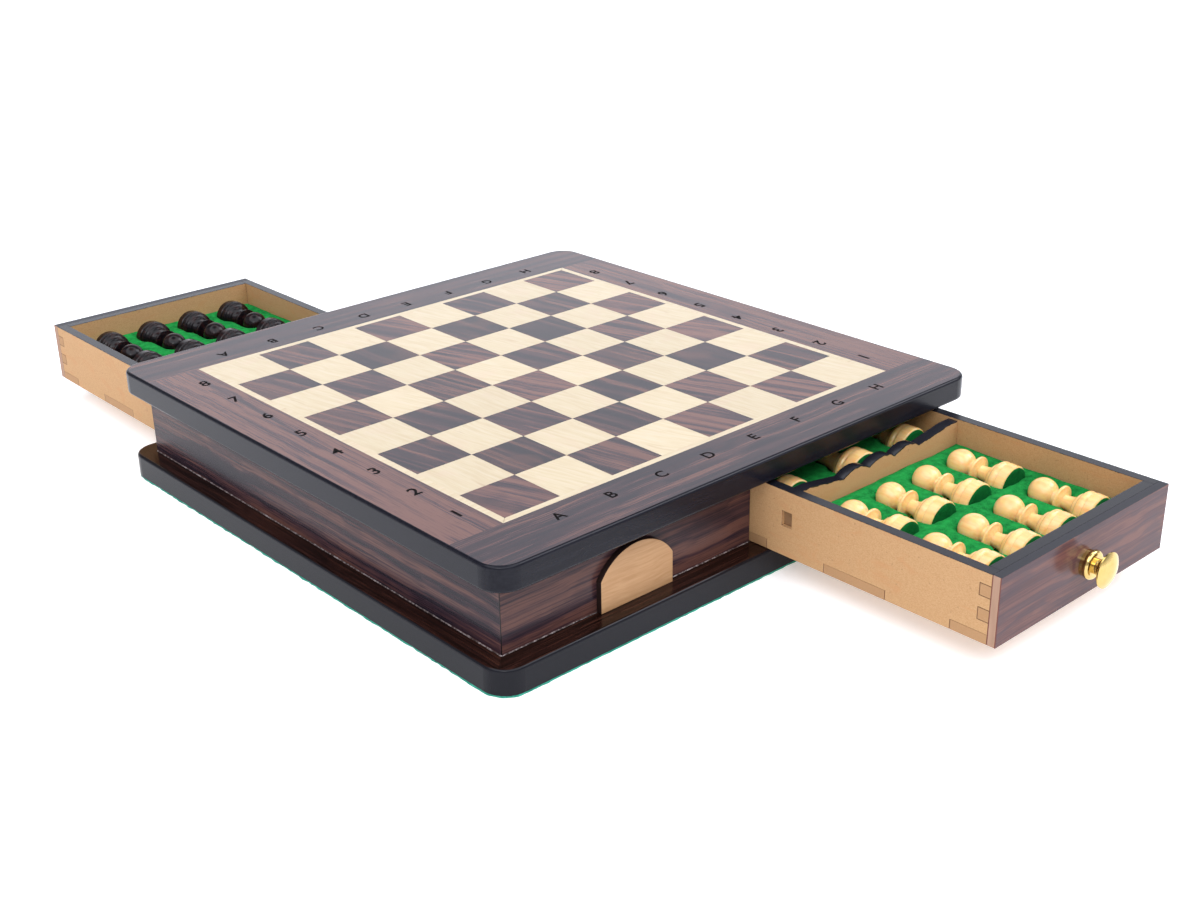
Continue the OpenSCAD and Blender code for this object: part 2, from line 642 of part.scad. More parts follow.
// Hollow that takes a lying piece: a deep part for its base, a shallow one for the rest, both open upwards
module hollow(base_d, body_d, height) {
    gap = seat_clear;
    deep = foot_top(base_d / 2) + 2 * gap;
    translate([0, 0, -pad_t - gap]) cylinder(h = deep + pad_t + 2 * gap, d = base_d + 2 * gap);
    translate([-base_d / 2 - gap, -base_d, -pad_t - gap]) cube([base_d + 2 * gap, base_d, deep + pad_t + 2 * gap]);
    translate([0, 0, deep - 1]) cylinder(h = height - deep + 1 + gap, d = body_d + 2 * gap);
    translate([-body_d / 2 - gap, -base_d, deep - 1]) cube([body_d + 2 * gap, base_d, height - deep + 1 + gap]);
}

module tray(y, length) difference() {
    translate([-inner_w / 2 + tray_clear, y + tray_clear, tray_z])
        cube([inner_w - 2 * tray_clear, length - 2 * tray_clear, tray_top - tray_z]);
    children();
}

module pawn_tray() color(felt) tray(inner_y, pawn_bay_l)
    at_pawns() hollow(pawn_d, max(pawn_head_d, pawn_collar_d), pawn_h);

module piece_tray() color(felt) tray(rear_y, rear_bay_l) {
    at_rooks() hollow(officer_d, 0.74 * officer_d, rook_h);
    at_knights() hollow(officer_d, 2 * nose_reach(), knight_h);
    at_bishops() hollow(officer_d, 0.66 * officer_d, bishop_h);
    at_queen() hollow(royal_d, 0.7 * royal_d, queen_h);
    at_king() hollow(royal_d, 0.72 * royal_d, king_h);
}

module drawer_part(name, wood) {
    if (name == "drawer_face") drawer_face();
    if (name == "drawer_inner_front") drawer_inner_front();
    if (name == "drawer_left_side") drawer_side(-1);
    if (name == "drawer_right_side") drawer_side(1);
    if (name == "drawer_back") drawer_back();
    if (name == "drawer_bottom") drawer_bottom();
    if (name == "drawer_divider") drawer_divider();
    if (name == "pawn_tray") pawn_tray();
    if (name == "piece_tray") piece_tray();
    if (name == "knob") knob();
    if (name == "knob_screw") knob_screw();
    if (name == "pawns") color(wood) at_pawns() pawn();
    if (name == "rooks") color(wood) at_rooks() rook();
    if (name == "knights") color(wood) at_knights() knight();
    if (name == "bishops") color(wood) at_bishops() bishop();
    if (name == "queen") color(wood) at_queen() queen();
    if (name == "king") color(wood) at_king() king();
    if (name == "base_felts") base_felts();
}

top_board();
squares(rosewood, 0);  // dark_squares
squares(maple, 1);  // light_squares
stringing();
border_end_strip();  // border_front
rotate(180) border_end_strip();  // border_rear
border_side_strip();  // border_left
rotate(180) border_side_strip();  // border_right
front_panel();
rotate(180) front_panel();  // rear_panel
left_panel();
rotate(180) left_panel();  // right_panel
centre_partition();
base_board();
base_felt();
blank_plate();
for (s = SIDES, n = PER_DRAWER) in_drawer(s) drawer_part(n, s == "white" ? boxwood : ebony);
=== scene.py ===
"""Looks of a chess set with board: finishes, lettering, felt, light and camera, round the CAD frame."""

import json
import math

import bmesh
import bpy
import numpy as np
from mathutils import Euler, Matrix, Vector, noise


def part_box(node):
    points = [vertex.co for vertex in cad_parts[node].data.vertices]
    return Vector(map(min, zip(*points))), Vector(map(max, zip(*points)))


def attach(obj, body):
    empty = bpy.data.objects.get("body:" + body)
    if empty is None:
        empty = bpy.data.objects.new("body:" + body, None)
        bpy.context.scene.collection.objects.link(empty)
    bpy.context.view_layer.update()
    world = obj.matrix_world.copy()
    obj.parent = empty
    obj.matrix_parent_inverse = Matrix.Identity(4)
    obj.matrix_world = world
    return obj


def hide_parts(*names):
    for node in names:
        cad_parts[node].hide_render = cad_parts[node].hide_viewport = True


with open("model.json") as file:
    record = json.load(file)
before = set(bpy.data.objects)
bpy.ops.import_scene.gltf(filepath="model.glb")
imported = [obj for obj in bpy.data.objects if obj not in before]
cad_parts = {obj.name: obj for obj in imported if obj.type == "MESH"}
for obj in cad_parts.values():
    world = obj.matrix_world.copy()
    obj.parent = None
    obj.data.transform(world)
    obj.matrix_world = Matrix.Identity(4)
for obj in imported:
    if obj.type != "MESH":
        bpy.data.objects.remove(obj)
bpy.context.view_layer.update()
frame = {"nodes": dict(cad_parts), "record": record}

MM = 0.001
NODES = frame["nodes"]
SIDES = ("white", "black")
# Which way along y the heads of each side's chessmen point
HEADS = {"white": 1, "black": -1}

# ------------------------------------------------------------------ sizes

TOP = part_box("top_board")[1].z
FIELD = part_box("light_squares")[1].x
SQUARE = FIELD / 4
CASE_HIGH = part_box("rear_panel")[1]
BASE_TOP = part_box("base_board")[1].z
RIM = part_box("white_drawer_face")[1].z
FACE_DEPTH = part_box("white_drawer_face")[1].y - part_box("white_drawer_face")[0].y
PAWN_TILT = math.radians(4.3)
PIECE_TILT = math.radians(4)

CAMERA_AT = (-0.4777, -0.5761, 0.3429)
CAMERA_TURN = tuple(math.radians(angle) for angle in (66.28, 0.84, -42.37))
CAMERA_LENS = 47.3

# The coordinates: how high they are, how far apart, and how far from the board's middle
LETTER_HEIGHT = 6 * MM
DIGIT_HEIGHT = 7.1 * MM
LETTER_PITCH = 0.98 * SQUARE
END_MIDDLE = FIELD + 13.8 * MM
SIDE_MIDDLE = FIELD + 11.6 * MM

# ------------------------------------------------------------------ node helpers


class Graph:
    """A node tree under construction: most methods add one node and return its output socket."""

    def __init__(self, tree):
        self.tree = tree

    def add(self, kind, **settings):
        node = self.tree.nodes.new(kind)
        for key, value in settings.items():
            setattr(node, key, value)
        return node

    def feed(self, socket, value):
        if isinstance(value, bpy.types.NodeSocket):
            self.tree.links.new(value, socket)
        elif isinstance(value, (tuple, list)) and len(value) == 3 and socket.type == "RGBA":
            socket.default_value = (*value, 1)
        else:
            socket.default_value = value

    def place(self):
        return self.add("ShaderNodeTexCoord").outputs["Object"]

    def facing(self):
        return self.add("ShaderNodeNewGeometry").outputs["True Normal"]

    def parts(self, vector):
        node = self.add("ShaderNodeSeparateXYZ")
        self.feed(node.inputs[0], vector)
        return node.outputs

    def join(self, x, y, z):
        node = self.add("ShaderNodeCombineXYZ")
        for socket, value in zip(node.inputs, (x, y, z)):
            self.feed(socket, value)
        return node.outputs[0]

    def vector(self, operation, a, b=None, scale=None):
        node = self.add("ShaderNodeVectorMath", operation=operation)
        self.feed(node.inputs[0], a)
        if b is not None:
            self.feed(node.inputs[1], b)
        if scale is not None:
            self.feed(node.inputs["Scale"], scale)
        return node.outputs["Value"] if operation == "DOT_PRODUCT" else node.outputs[0]

    def math(self, operation, a, b=0.5, c=None):
        node = self.add("ShaderNodeMath", operation=operation)
        self.feed(node.inputs[0], a)
        self.feed(node.inputs[1], b)
        if c is not None:
            self.feed(node.inputs[2], c)
        return node.outputs[0]

    def noise(self, vector, scale, detail=2.0, rough=0.5, warp=0.0):
        node = self.add("ShaderNodeTexNoise")
        self.feed(node.inputs["Vector"], vector)
        settings = {"Scale": scale, "Detail": detail, "Roughness": rough, "Distortion": warp}
        for key, value in settings.items():
            self.feed(node.inputs[key], value)
        return node.outputs["Fac"]

    def cells(self, vector):
        node = self.add("ShaderNodeTexWhiteNoise", noise_dimensions="3D")
        self.feed(node.inputs["Vector"], vector)
        return node.outputs

    def turned(self, vector, angle):
        node = self.add("ShaderNodeVectorRotate", rotation_type="Z_AXIS")
        self.feed(node.inputs["Vector"], vector)
        self.feed(node.inputs["Angle"], angle)
        return node.outputs[0]

    def ramp(self, value, *stops):
        node = self.add("ShaderNodeValToRGB")
        self.feed(node.inputs[0], value)
        band = node.color_ramp.elements
        while len(band) < len(stops):
            band.new(0.5)
        for element, (at, colour) in zip(band, stops):
            element.position = at
            element.color = (*colour, 1)
        return node.outputs[0]

    def step(self, value, low, high, top=1.0):
        node = self.add("ShaderNodeMapRange", interpolation_type="SMOOTHSTEP")
        for socket, number in zip(node.inputs, (value, low, high, 0.0, top)):
            self.feed(socket, number)
        return node.outputs[0]

    def mix(self, share, a, b, kind="MIX"):
        node = self.add("ShaderNodeMix", data_type="RGBA", blend_type=kind)
        self.feed(node.inputs[0], share)
        self.feed(node.inputs[6], a)
        self.feed(node.inputs[7], b)
        return node.outputs[2]

    def toned(self, colour, tone):
        return self.mix(1.0, colour, self.join(tone, tone, tone), "MULTIPLY")

    def bump(self, height, depth, strength, onto=None):
        node = self.add("ShaderNodeBump")
        self.feed(node.inputs["Height"], height)
        self.feed(node.inputs["Distance"], depth)
        self.feed(node.inputs["Strength"], strength)
        if onto is not None:
            self.feed(node.inputs["Normal"], onto)
        return node.outputs[0]


class Paint(Graph):
    """A material under construction."""

    def __init__(self, name, **constants):
        self.material = bpy.data.materials.new(name)
        self.material.use_nodes = True
        super().__init__(self.material.node_tree)
        self.shader = self.tree.nodes["Principled BSDF"]
        for key, value in constants.items():
            self.shader.inputs[key.replace("_", " ")].default_value = value

    def done(self, **outputs):
        for key, value in outputs.items():
            self.feed(self.shader.inputs[key.replace("_", " ")], value)
        return self.material


WAVERS_PER_METRE = 30


def grain_space(paint, place, along, length, width, waver=1.2 * MM):
    """Coordinates that run slowly along the grain and fast across it, with a gentle waver."""
    # The noise stays within about a quarter of its middle value
    drift = paint.vector("SUBTRACT", paint.noise(place, WAVERS_PER_METRE, 2), (0.5, 0.5, 0.5))
    place = paint.vector("ADD", place, paint.vector("SCALE", drift, scale=4 * waver))
    scales = tuple(1 / (length if axis == along else width) for axis in "xyz")
    return paint.vector("MULTIPLY", place, scales)


# ------------------------------------------------------------------ wood

SLATE = (0.016, 0.011, 0.018)
UMBER = (0.050, 0.024, 0.029)
RUSSET = (0.130, 0.058, 0.046)
PAINTED = (0.008, 0.008, 0.012)
# Black paint lightened by a painted reflection: the drawer face's top reflects less than the painted rim beside
# it, and this colour makes up the difference
BLACK_WITH_PAINTED_REFLECTION = (0.028, 0.028, 0.034)
PORE = (0.010, 0.007, 0.010)
FLAME = (0.120, 0.050, 0.040)
HAIRLINE = (0.004, 0.003, 0.003)
PINKISH = (0.580, 0.435, 0.310)
BROWN_STREAK = (0.380, 0.250, 0.150)
FOXED = (0.500, 0.245, 0.100)
SPECK = (0.250, 0.130, 0.060)
SCORCHED = (0.130, 0.060, 0.030)
SAWN_END = (0.360, 0.195, 0.090)
BURNT_END = (0.085, 0.035, 0.015)

# How deep the pores, the lines of fine grain and those of coarse grain are
PORE_DEPTH, FINE_DEPTH, COARSE_DEPTH = 0.04 * MM, 0.03 * MM, 0.05 * MM


def per_square(paint, lean, spread):
    """Place shifted and turned on each square of the board by an amount of its own, and a random value."""
    place = paint.place()
    x, y, _ = paint.parts(paint.vector("FLOOR", paint.vector("SCALE", place, scale=1 / SQUARE)))
    value, colour = paint.cells(paint.join(x, y, 3.0))[:2]
    angle = paint.math("MULTIPLY_ADD", value, -2 * spread, spread - lean)
    return paint.vector("ADD", paint.turned(place, angle), paint.vector("SCALE", colour, scale=3.0)), value


def rosewood_grain(paint, place, along, red, fine=0.45):
    """Colour of rosewood, slate with umber and russet in straight lines, and its pores.

    red is its warmth, and fine the share of the hair-thin lines in its figure.
    """
    lines = paint.noise(grain_space(paint, place, along, 75 * MM, 0.75 * MM, 0.5 * MM), 1.0, 3, 0.6, 0.1)
    bands = paint.noise(grain_space(paint, place, along, 130 * MM, 4.5 * MM), 1.0, 2, 0.5, 0.3)
    tone = paint.math("MULTIPLY_ADD", bands, 1 - fine, paint.math("MULTIPLY", lines, fine))
    tone = paint.math("ADD", tone, paint.math("MULTIPLY_ADD", red, 0.10, -0.05))
    colour = paint.ramp(tone, (0.41, SLATE), (0.50, UMBER), (0.61, RUSSET))
    pores = paint.noise(grain_space(paint, place, along, 12 * MM, 0.3 * MM, 0.3 * MM), 1.0, 2)
    return paint.mix(paint.step(pores, 0.58, 0.72, 0.5), colour, PORE), pores


# The grain leans a little on the squares, by a mean angle and up to a spread on either side of it
ROSEWOOD_LEAN, MAPLE_LEAN, LEAN_SPREAD = math.radians(14), math.radians(12), math.radians(10)


def rosewood_squares():
    """Rosewood squares: each has its own tone and lean of grain, and some a sharp lighter flame."""
    paint = Paint("rosewood_square", Roughness=0.24, IOR=1.48)
    place, value = per_square(paint, ROSEWOOD_LEAN, LEAN_SPREAD)
    colour, pores = rosewood_grain(paint, place, "y", paint.math("MULTIPLY_ADD", value, 0.9, 0.0), 0.28)
    flame = paint.noise(paint.vector("MULTIPLY", place, (1, 0.45, 1)), 42, 1, 0.4, 0.5)
    colour = paint.mix(paint.step(flame, 0.61, 0.65, 0.32), colour, FLAME)
    colour = paint.toned(colour, paint.math("MULTIPLY_ADD", value, 0.5, 0.8))
    return paint.done(Base_Color=colour, Normal=paint.bump(pores, PORE_DEPTH, 0.2))


def rosewood(name, along, red, gloss=0.22, ior=1.48, tone=1.0, corner=False):
    """Rosewood veneer under a clear lacquer, with a hairline at the case's corners if corner is set."""
    paint = Paint(name, Roughness=gloss, IOR=ior)
    colour, pores = rosewood_grain(paint, paint.place(), along, red)
    colour = paint.toned(colour, tone)
    if corner:
        colour = paint.mix(mitre_line(paint), colour, HAIRLINE)
    return paint.done(Base_Color=colour, Normal=paint.bump(pores, PORE_DEPTH, 0.2))


HAIRLINE_WIDTH = 0.3 * MM


def mitre_line(paint):
    """1 on the hairline where two walls of the case meet at a corner, and 0 elsewhere."""
    x, y, _ = paint.parts(paint.place())
    near_x = paint.math("SUBTRACT", CASE_HIGH.x, paint.math("ABSOLUTE", x))
    near_y = paint.math("SUBTRACT", CASE_HIGH.y, paint.math("ABSOLUTE", y))
    return paint.math("LESS_THAN", paint.math("MAXIMUM", near_x, near_y), HAIRLINE_WIDTH)


def maple(name, along, squares=True):
    """Creamy maple veneer with faint tan lines, a pinkish cloud here and there and a few brown streaks."""
    paint = Paint(name, Roughness=0.26, IOR=1.5)
    if squares:
        place, value = per_square(paint, MAPLE_LEAN, LEAN_SPREAD)
    else:
        place, value = paint.place(), None
    lines = paint.noise(grain_space(paint, place, along, 26 * MM, 1.5 * MM), 1.0, 4, 0.6, 0.3)
    colour = paint.ramp(lines, (0.36, (0.534, 0.427, 0.272)), (0.50, (0.565, 0.463, 0.301)),
                        (0.64, (0.585, 0.488, 0.331)))
    cloud = paint.noise(place, 55, 2, 0.5, 0.5)
    colour = paint.mix(paint.step(cloud, 0.52, 0.72, 0.35), colour, PINKISH)
    streak = paint.noise(grain_space(paint, place, along, 34 * MM, 3.2 * MM, 2 * MM), 1.0, 2, 0.5, 0.8)
    colour = paint.mix(paint.step(streak, 0.66, 0.74, 0.3), colour, BROWN_STREAK)
    if squares:
        colour = paint.toned(colour, paint.math("MULTIPLY_ADD", value, 0.10, 0.95))
    return paint.done(Base_Color=colour, Normal=paint.bump(lines, FINE_DEPTH, 0.15))


def stained_edge():
    """Black stained, satin edge of the board."""
    paint = Paint("stained_edge", Roughness=0.22, IOR=1.27)
    grain = paint.noise(grain_space(paint, paint.place(), "x", 50 * MM, 2 * MM), 1.0, 4, 0.6)
    colour = paint.ramp(grain, (0.35, (0.004, 0.004, 0.008)), (0.7, (0.009, 0.009, 0.014)))
    return paint.done(Base_Color=colour, Normal=paint.bump(grain, COARSE_DEPTH, 0.2))


# How far the base's brown stain stops below its top: wholly, and at first
STAIN_END, STAIN_START = 0.35 * MM, 0.05 * MM


def stained_base():
    """Base board: red-brown and glossy on top, wiped along each side, and black round its edge."""
    paint = Paint("stained_base", Roughness=0.18, IOR=1.26)
    place = paint.place()
    x, y, z = paint.parts(place)
    ends = paint.math("GREATER_THAN", paint.math("ABSOLUTE", x), paint.math("ABSOLUTE", y))
    wiped = [paint.noise(grain_space(paint, place, along, 60 * MM, 1.1 * MM, 0.6 * MM), 1.0, 4, 0.65)
             for along in "xy"]
    grain = paint.mix(ends, *wiped)
    brown = paint.ramp(grain, (0.40, (0.007, 0.003, 0.002)), (0.52, (0.020, 0.007, 0.005)),
                       (0.68, (0.048, 0.018, 0.011)))
    top = paint.step(z, BASE_TOP - STAIN_END, BASE_TOP - STAIN_START)
    colour = paint.mix(top, (0.006, 0.006, 0.009), brown)
    return paint.done(Base_Color=colour, Normal=paint.bump(grain, COARSE_DEPTH, 0.2))


# A face counts as a rounding where no part of its normal is over this
FLATNESS = 0.985


def axis_share(paint):
    """How squarely a face looks along x, along y and up, and 1 on the narrow rounding between two faces."""
    x, y, z = paint.parts(paint.facing())
    x, y = paint.math("ABSOLUTE", x), paint.math("ABSOLUTE", y)
    most = paint.math("MAXIMUM", paint.math("MAXIMUM", x, y), paint.math("ABSOLUTE", z))
    return x, y, z, paint.math("LESS_THAN", most, FLATNESS)


# The black paint on the drawers' rims: how raggedly it ends, how far it reaches over the edge at least, and
# how far below the rim it still covers what faces up
PAINT_RAGGED = 0.35 * MM
PAINT_OVER = 0.15 * MM
PAINT_DEEP = 5.5 * MM


def fibreboard(name, end=None):
    """Bare fibreboard with scorched edges and a black painted rim; end is the colour of its cut ends."""
    paint = Paint(name, IOR=1.4)
    place = paint.place()
    fibre = paint.noise(paint.vector("MULTIPLY", place, (1, 1, 1.7)), 1500, 3, 0.7)
    colour = paint.ramp(fibre, (0.34, (0.437, 0.238, 0.101)), (0.50, (0.495, 0.286, 0.130)),
                        (0.66, (0.534, 0.320, 0.154)))
    flow = paint.noise(paint.vector("MULTIPLY", place, (1, 1, 3)), 55, 3, 0.6, 1.0)
    colour = paint.mix(paint.step(flow, 0.52, 0.70, 0.48), colour, FOXED)
    specks = paint.noise(place, 620, 1)
    colour = paint.mix(paint.step(specks, 0.70, 0.78, 0.40), colour, SPECK)
    side, _, up, rounding = axis_share(paint)
    if end:
        colour = paint.mix(paint.step(side, 0.8, 0.9, 0.65), colour, end)
    colour = paint.mix(paint.math("MULTIPLY", rounding, 0.85), colour, SCORCHED)
    height = paint.math("SUBTRACT", paint.parts(place)[2], RIM)
    wave = paint.math("MULTIPLY_ADD", paint.noise(place, 300, 3, 0.7), -2 * PAINT_RAGGED, 0.6 * PAINT_RAGGED)
    over = paint.math("GREATER_THAN", height, paint.math("MINIMUM", wave, -PAINT_OVER))
    flat = paint.math("MULTIPLY", paint.step(up, 0.5, 0.8), paint.math("GREATER_THAN", height, -PAINT_DEEP))
    black = paint.math("MAXIMUM", over, flat)
    colour = paint.mix(black, colour, PAINTED)
    rough = paint.math("MULTIPLY_ADD", black, -0.44, 0.70)
    return paint.done(Base_Color=colour, Roughness=rough, Normal=paint.bump(fibre, COARSE_DEPTH, 0.3))


FACE_VENEER = 0.5 * MM
BACK_VENEER = 0.4 * MM


def drawer_front():
    """Veneered face board: rosewood in front, its core between two veneers at the ends, and black paint on top
    lightened by a painted reflection.
    """
    paint = Paint("rosewood_drawer_front", IOR=1.26)
    place = paint.place()
    veneer, pores = rosewood_grain(paint, place, "x", 0.75)
    veneer = paint.mix(0.35, veneer, (0.170, 0.070, 0.060))
    band = paint.noise(grain_space(paint, place, "x", 90 * MM, 5 * MM, 2 * MM), 1.0, 2, 0.5, 0.3)
    veneer = paint.mix(paint.step(band, 0.48, 0.62, 0.6), veneer, (0.048, 0.030, 0.040))
    # How far a point lies from the nearer of the two drawers' fronts
    y = paint.math("ABSOLUTE", paint.parts(place)[1])
    low, high = (paint.math("SUBTRACT", y, abs(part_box(f"{side}_drawer_face")[at].y))
                 for side, at in (("white", 0), ("black", 1)))
    depth = paint.math("MINIMUM", paint.math("ABSOLUTE", low), paint.math("ABSOLUTE", high))
    core = paint.noise(paint.vector("MULTIPLY", place, (1, 300, 40)), 1.0, 3)
    end = paint.ramp(core, (0.3, (0.330, 0.195, 0.130)), (0.7, (0.410, 0.255, 0.175)))
    skin = paint.math("MAXIMUM", paint.math("LESS_THAN", depth, FACE_VENEER),
                      paint.math("GREATER_THAN", depth, FACE_DEPTH - BACK_VENEER))
    end = paint.mix(skin, end, (0.170, 0.055, 0.040))
    side, _, up, _ = axis_share(paint)
    sideways = paint.step(side, 0.8, 0.9)
    upward = paint.step(up, 0.5, 0.8)
    # The top is the black paint lightened by a painted reflection
    colour = paint.mix(upward, paint.mix(sideways, veneer, end), BLACK_WITH_PAINTED_REFLECTION)
    gloss = paint.math("MULTIPLY_ADD", upward, 0.20, 0.18)
    rough = paint.math("MAXIMUM", gloss, paint.math("MULTIPLY", sideways, 0.6))
    return paint.done(Base_Color=colour, Roughness=rough, Normal=paint.bump(pores, FINE_DEPTH, 0.15))


def boxwood():
    """Waxed boxwood: pale yellow, a little redder along its fine lines."""
    paint = Paint("boxwood", Roughness=0.18, IOR=1.55, Subsurface_Weight=0.5, Subsurface_Scale=1.8 * MM,
                  Subsurface_Radius=(1.0, 0.45, 0.15))
    place = paint.place()
    lines = paint.noise(grain_space(paint, place, "y", 24 * MM, 1.6 * MM), 1.0, 3, 0.5, 0.3)
    colour = paint.ramp(lines, (0.34, (0.835, 0.490, 0.185)), (0.5, (0.868, 0.556, 0.226)),
                        (0.68, (0.882, 0.598, 0.259)))
    patch = paint.noise(place, 60, 1)
    colour = paint.mix(paint.step(patch, 0.5, 0.7, 0.35), colour, (0.852, 0.485, 0.180))
    return paint.done(Base_Color=colour, Normal=paint.bump(lines, FINE_DEPTH, 0.2))


def ebonised():
    """Polished ebonised wood: near black, with a trace of red-brown in the grain."""
    paint = Paint("ebonised_wood", Roughness=0.20, IOR=1.29)
    lines = paint.noise(grain_space(paint, paint.place(), "y", 30 * MM, 2 * MM), 1.0, 4, 0.6, 0.3)
    colour = paint.ramp(lines, (0.45, (0.003, 0.002, 0.003)), (0.72, (0.022, 0.006, 0.005)))
    return paint.done(Base_Color=colour, Normal=paint.bump(lines, COARSE_DEPTH, 0.3))


def plywood():
    """Bare pale plywood plate, scorched brown round its cut edge."""
    paint = Paint("plate_wood", Roughness=0.55, IOR=1.4)
    lines = paint.noise(grain_space(paint, paint.place(), "x", 30 * MM, 1.2 * MM), 1.0, 4, 0.6)
    colour = paint.ramp(lines, (0.34, (0.385, 0.208, 0.092)), (0.66, (0.468, 0.274, 0.135)))
    _, front, _, _ = axis_share(paint)
    colour = paint.mix(paint.step(front, 0.6, 0.9), (0.018, 0.008, 0.006), colour)
    return paint.done(Base_Color=colour, Normal=paint.bump(lines, COARSE_DEPTH, 0.3))


# ------------------------------------------------------------------ metal, felt and the rest


def brass():
    """Polished brass, faintly clouded."""
    paint = Paint("polished_brass", Metallic=1.0, IOR=1.5)
    cloud = paint.noise(paint.place(), 260, 3, 0.6)
    colour = paint.ramp(cloud, (0.3, (0.58, 0.41, 0.13)), (0.7, (0.66, 0.48, 0.19)))
    return paint.done(Base_Color=colour, Roughness=paint.math("MULTIPLY_ADD", cloud, 0.08, 0.08))


def steel():
    """Zinc plated screw."""
    paint = Paint("screw_steel", Metallic=1.0, IOR=1.5)
    cloud = paint.noise(paint.place(), 900, 3, 0.6)
    colour = paint.ramp(cloud, (0.3, (0.42, 0.40, 0.36)), (0.7, (0.62, 0.60, 0.55)))
    return paint.done(Base_Color=colour, Roughness=paint.math("MULTIPLY_ADD", cloud, 0.2, 0.25))


def velvet(name, deep, bright, pile=0.3 * MM):
    """Short pile: mottled colour, a sheen of its own colour and a fuzzy surface."""
    paint = Paint(name, Roughness=0.95, IOR=1.3, Specular_IOR_Level=0.1,
                  Sheen_Weight=0.45, Sheen_Roughness=0.5, Sheen_Tint=(*bright, 1))
    place = paint.place()
    cloud = paint.noise(place, 260, 5, 0.7)
    tuft = paint.noise(place, 2200, 2, 0.6)
    colour = paint.ramp(cloud, (0.36, deep), (0.64, bright))
    colour = paint.mix(paint.step(tuft, 0.40, 0.62, 0.30), colour, tuple(1.3 * c for c in bright))
    soft = paint.noise(place, 420, 3, 0.6)
    normal = paint.bump(soft, pile, 0.35, paint.bump(tuft, 0.4 * pile, 0.5))
    return paint.done(Base_Color=colour, Normal=normal)


def plain(name, low, high, scale, roughness, ior=1.4, **constants):
    """Mottled matt material between two colours."""
    paint = Paint(name, Roughness=roughness, IOR=ior, **constants)
    cloud = paint.noise(paint.place(), scale, 3, 0.6)
    return paint.done(Base_Color=paint.ramp(cloud, (0.35, low), (0.65, high)))


def glue():
    """Dried glue: broken pale specks along a dark joint."""
    paint = Paint("glue", Roughness=0.35, IOR=1.4)
    specks = paint.noise(paint.place(), 650, 3, 0.7)
    colour = paint.ramp(specks, (0.42, (0.03, 0.018, 0.014)), (0.50, (0.12, 0.09, 0.085)),
                        (0.62, (0.36, 0.31, 0.30)))
    return paint.done(Base_Color=colour)


GREEN = velvet("green_velvet", (0.004, 0.092, 0.019), (0.014, 0.240, 0.046))
# The discs' felt: a darker copy of the trays' green velvet, as painted shade on the sideways discs
SHADED_DISC_GREEN = velvet("disc_felt_painted_shade", (0.002, 0.055, 0.012), (0.004, 0.105, 0.022), 0.2 * MM)
BASE_GREEN = velvet("base_felt", (0.015, 0.170, 0.115), (0.060, 0.330, 0.235), 0.2 * MM)
BOARD = fibreboard("fibreboard")
JOINTED_BOARD = fibreboard("jointed_fibreboard", end=SAWN_END)
DIVIDER_BOARD = fibreboard("divider_fibreboard", end=BURNT_END)
BLACK_PAINT = plain("black_paint", PAINTED, (0.012, 0.012, 0.016), 400, 0.26)
ENGRAVED = plain("engraved", (0.003, 0.002, 0.002), (0.008, 0.006, 0.006), 500, 0.7, ior=1.12)
SLOTS = {
    "stained_edge": stained_edge(),
    "rosewood_square": rosewood_squares(),
    "maple_square": maple("maple_square", "y"),
    "maple_line": maple("maple_line", "x", squares=False),
    "rosewood_border": rosewood("rosewood_border", "x", 0.15),
    # The side borders are redder and lighter by their tone: partly their own colour, partly a painted reflection
    "rosewood_border_side": rosewood("rosewood_border_side", "y", 1.15, tone=1.12),
    "rosewood_case": rosewood("rosewood_case", "x", 0.9, gloss=0.24, ior=1.28, tone=0.82, corner=True),
    "rosewood_case_side": rosewood("rosewood_case_side", "y", 0.5, gloss=0.24, ior=1.27, tone=0.9,
                                   corner=True),
    "stained_base": stained_base(),
    "plate_wood": plywood(),
    "polished_brass": brass(),
    "screw_steel": steel(),
    "boxwood": boxwood(),
    "ebonised_wood": ebonised(),
    "fibreboard": BOARD,
    "green_velvet": GREEN,
    "base_felt": BASE_GREEN,
}


# How far the edges of the boards and of the plate are eased, from what angle on, and how close points are welded
BOARD_EASE, PLATE_EASE = 0.15 * MM, 0.3 * MM
SHARP = math.radians(50)
WELD = 0.005 * MM


def finish_nodes():
    """Gives every CAD node the finish of its slot, or one of its own, and eases the edges of the boards."""
    slot_of = {part["node"]: part["material_slot"] for part in frame["record"]["subparts"]}
    front = drawer_front()
    for name, node in NODES.items():
        if name.endswith("drawer_face"):
            made = front
        elif name.endswith(("inner_front", "drawer_back", "drawer_bottom")):
            made = JOINTED_BOARD
        elif name.endswith("drawer_divider"):
            made = DIVIDER_BOARD
        else:
            made = SLOTS[slot_of[name]]
        for slot in node.material_slots:
            slot.material = made
        if slot_of[name] == "fibreboard" or name.endswith("drawer_face"):
            ease(node, BOARD_EASE)
        if name == "blank_plate":
            ease(node, PLATE_EASE)


def ease(node, width):
    """Rounds the sharp edges of a sawn board a little."""
    weld = node.modifiers.new("weld", "WELD")
    weld.merge_threshold = WELD
    bevel = node.modifiers.new("ease", "BEVEL")
    bevel.width, bevel.segments = width, 2
    bevel.limit_method, bevel.angle_limit = "ANGLE", SHARP


# ------------------------------------------------------------------ mesh helpers


def piece(name, points, faces, material, smooth=True):
    """A new mesh object in the row frame."""
    mesh = bpy.data.meshes.new(name)
    mesh.from_pydata([tuple(p) for p in points], [], [tuple(f) for f in faces])
    mesh.validate()
    mesh.polygons.foreach_set("use_smooth", [smooth] * len(mesh.polygons))
    mesh.materials.append(material)
    made = bpy.data.objects.new(name, mesh)
    bpy.context.scene.collection.objects.link(made)
    return made


